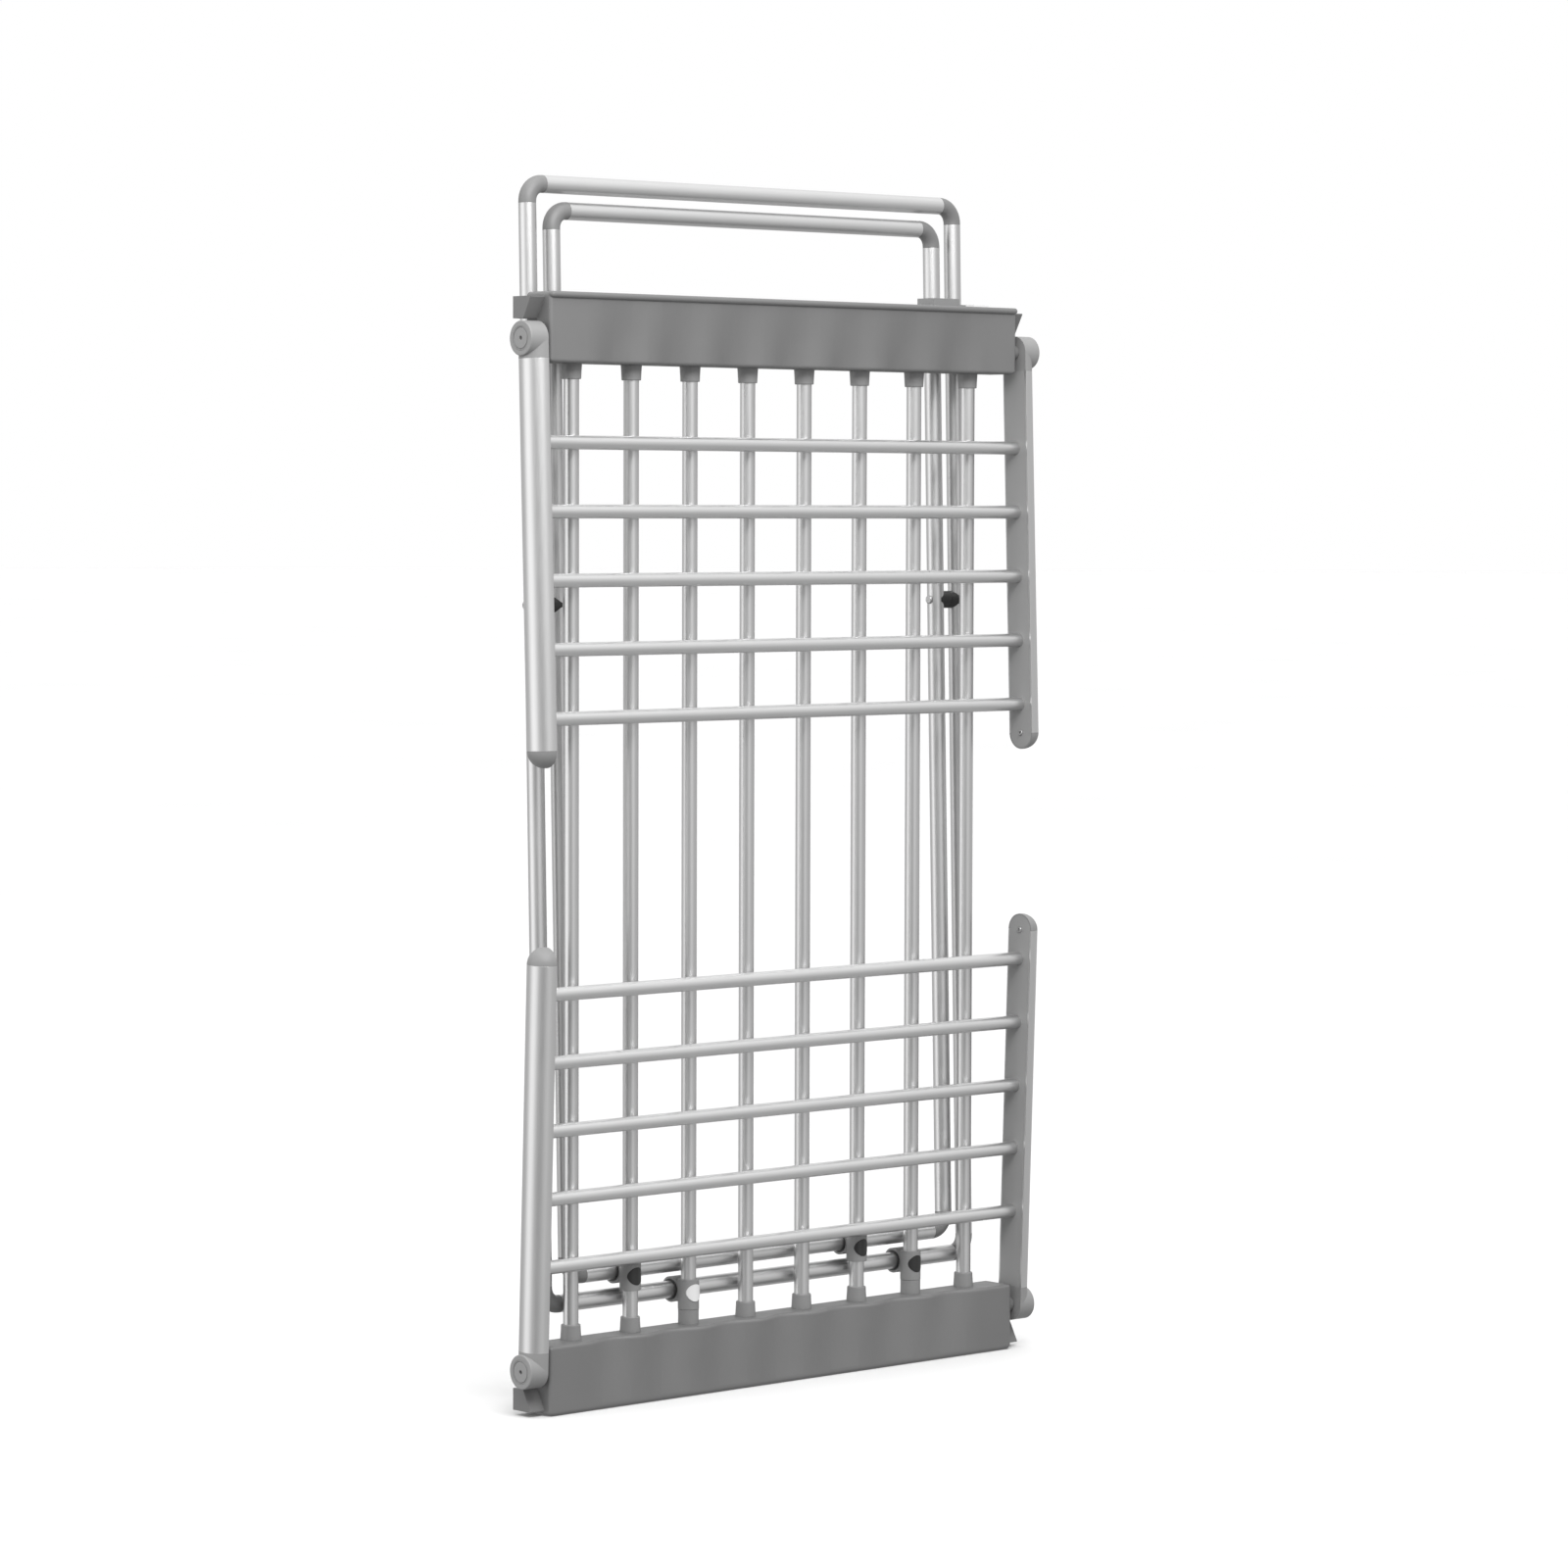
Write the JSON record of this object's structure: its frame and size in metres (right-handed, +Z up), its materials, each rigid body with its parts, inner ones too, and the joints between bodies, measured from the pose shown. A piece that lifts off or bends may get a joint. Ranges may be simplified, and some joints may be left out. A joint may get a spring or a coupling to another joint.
{
  "type": "folding clothes drying rack",
  "caption": "Free-standing clothes airer folded flat: rods between two end heads, hinged wings at both ends and crossing leg frames behind.",
  "frame": {"origin": "middle of the lower head's base, on the face that the folded airer stands on", "axes": "+Z up along the main rods, +Y to the rear where the legs are, +X along the heads"},
  "size_m": [0.624, 0.0898, 1.106],
  "materials": {
    "head_plastic": "fine moulded texture, mid grey",
    "ferrule_plastic": "fine moulded texture, darker grey",
    "fitting_plastic": "smooth satin grey",
    "strip_plastic": "matte light grey",
    "satin_aluminium": "satin anodised, drawn lengthwise",
    "screw_steel": "zinc plated",
    "black_plastic": "satin black",
    "pale_plastic": "satin pale grey"
  },
  "bodies": {
    "frame": {"lower_head_shell": "head_plastic", "upper_head_shell": "head_plastic", "lower_head_cover": "head_plastic", "upper_head_cover": "head_plastic", "head_cover_screws": "screw_steel", "lower_ferrules": "ferrule_plastic", "upper_ferrules": "ferrule_plastic", "main_rod_1": "satin_aluminium", "main_rod_2": "satin_aluminium", "main_rod_3": "satin_aluminium", "main_rod_4": "satin_aluminium", "main_rod_5": "satin_aluminium", "main_rod_6": "satin_aluminium", "main_rod_7": "satin_aluminium", "main_rod_8": "satin_aluminium", "hinge_bolts": "screw_steel", "leg_catch": "ferrule_plastic", "catch_screws": "screw_steel", "top_pad": "pale_plastic", "fixed_clips": "ferrule_plastic", "fixed_clip_liners": "black_plastic", "fixed_clip_cap": "black_plastic"},
    "lower_wing": {"lower_wing_arm_profiles": "satin_aluminium", "lower_wing_arm_strips": "strip_plastic", "lower_wing_knuckles": "fitting_plastic", "lower_wing_hinge_caps": "fitting_plastic", "lower_wing_end_caps": "ferrule_plastic", "lower_wing_end_screws": "screw_steel", "lower_wing_rod_1": "satin_aluminium", "lower_wing_rod_2": "satin_aluminium", "lower_wing_rod_3": "satin_aluminium", "lower_wing_rod_4": "satin_aluminium", "lower_wing_rod_5": "satin_aluminium"},
    "upper_wing": {"upper_wing_arm_profiles": "satin_aluminium", "upper_wing_arm_strips": "strip_plastic", "upper_wing_knuckles": "fitting_plastic", "upper_wing_hinge_caps": "fitting_plastic", "upper_wing_end_caps": "ferrule_plastic", "upper_wing_end_screws": "screw_steel", "upper_wing_rod_1": "satin_aluminium", "upper_wing_rod_2": "satin_aluminium", "upper_wing_rod_3": "satin_aluminium", "upper_wing_rod_4": "satin_aluminium", "upper_wing_rod_5": "satin_aluminium"},
    "outer_leg": {"outer_leg_side_tubes": "satin_aluminium", "outer_leg_lower_bar": "satin_aluminium", "outer_leg_foot_bar": "satin_aluminium", "outer_leg_elbows": "fitting_plastic", "outer_leg_pivot_spacers": "black_plastic", "outer_leg_pivot_rivets": "screw_steel"},
    "inner_leg": {"inner_leg_side_tubes": "satin_aluminium", "inner_leg_lower_bar": "satin_aluminium", "inner_leg_foot_bar": "satin_aluminium", "inner_leg_elbows": "fitting_plastic", "inner_leg_pivot_spacers": "black_plastic", "inner_leg_pivot_rivets": "screw_steel"},
    "slider": {"sliding_clips": "ferrule_plastic", "sliding_clip_liners": "black_plastic", "sliding_clip_caps": "black_plastic"},
    "lock_button": {"lock_button": "pale_plastic"}
  },
  "joints": [
    {"name": "lower_wing_fold", "type": "hinge", "parent": "frame", "child": "lower_wing", "pos_m": [0, -0.0065, 0.042], "axis": [1, 0, 0], "range_deg": [0, 149.6]},
    {"name": "upper_wing_fold", "type": "hinge", "parent": "frame", "child": "upper_wing", "pos_m": [0, -0.0065, 0.958], "axis": [-1, 0, 0], "range_deg": [0, 149.6]},
    {"name": "leg_fold", "type": "hinge", "parent": "frame", "child": "outer_leg", "pos_m": [0, 0.024, 0.093], "axis": [-1, 0, 0], "range_deg": [0, 46.13]},
    {"name": "slider_rise", "type": "slide", "parent": "frame", "child": "slider", "axis": [0, 0, 1], "range_m": [0, 0.7902]},
    {"name": "inner_leg_fold", "type": "hinge", "parent": "slider", "child": "inner_leg", "pos_m": [0, 0.024, 0.117], "axis": [-1, 0, 0], "range_deg": [0, 128.6]},
    {"name": "lock_press", "type": "slide", "parent": "frame", "child": "lock_button", "axis": [0, 1, 0], "range_m": [0, 0.0009], "stiffness_N_per_m": 600, "springref_m": -0.0006}
  ],
  "couplings": [
    {"joint": "slider_rise", "follows": "leg_fold", "m_per_rad": 0.98122},
    {"joint": "inner_leg_fold", "follows": "leg_fold", "ratio": 2.7869}
  ]
}
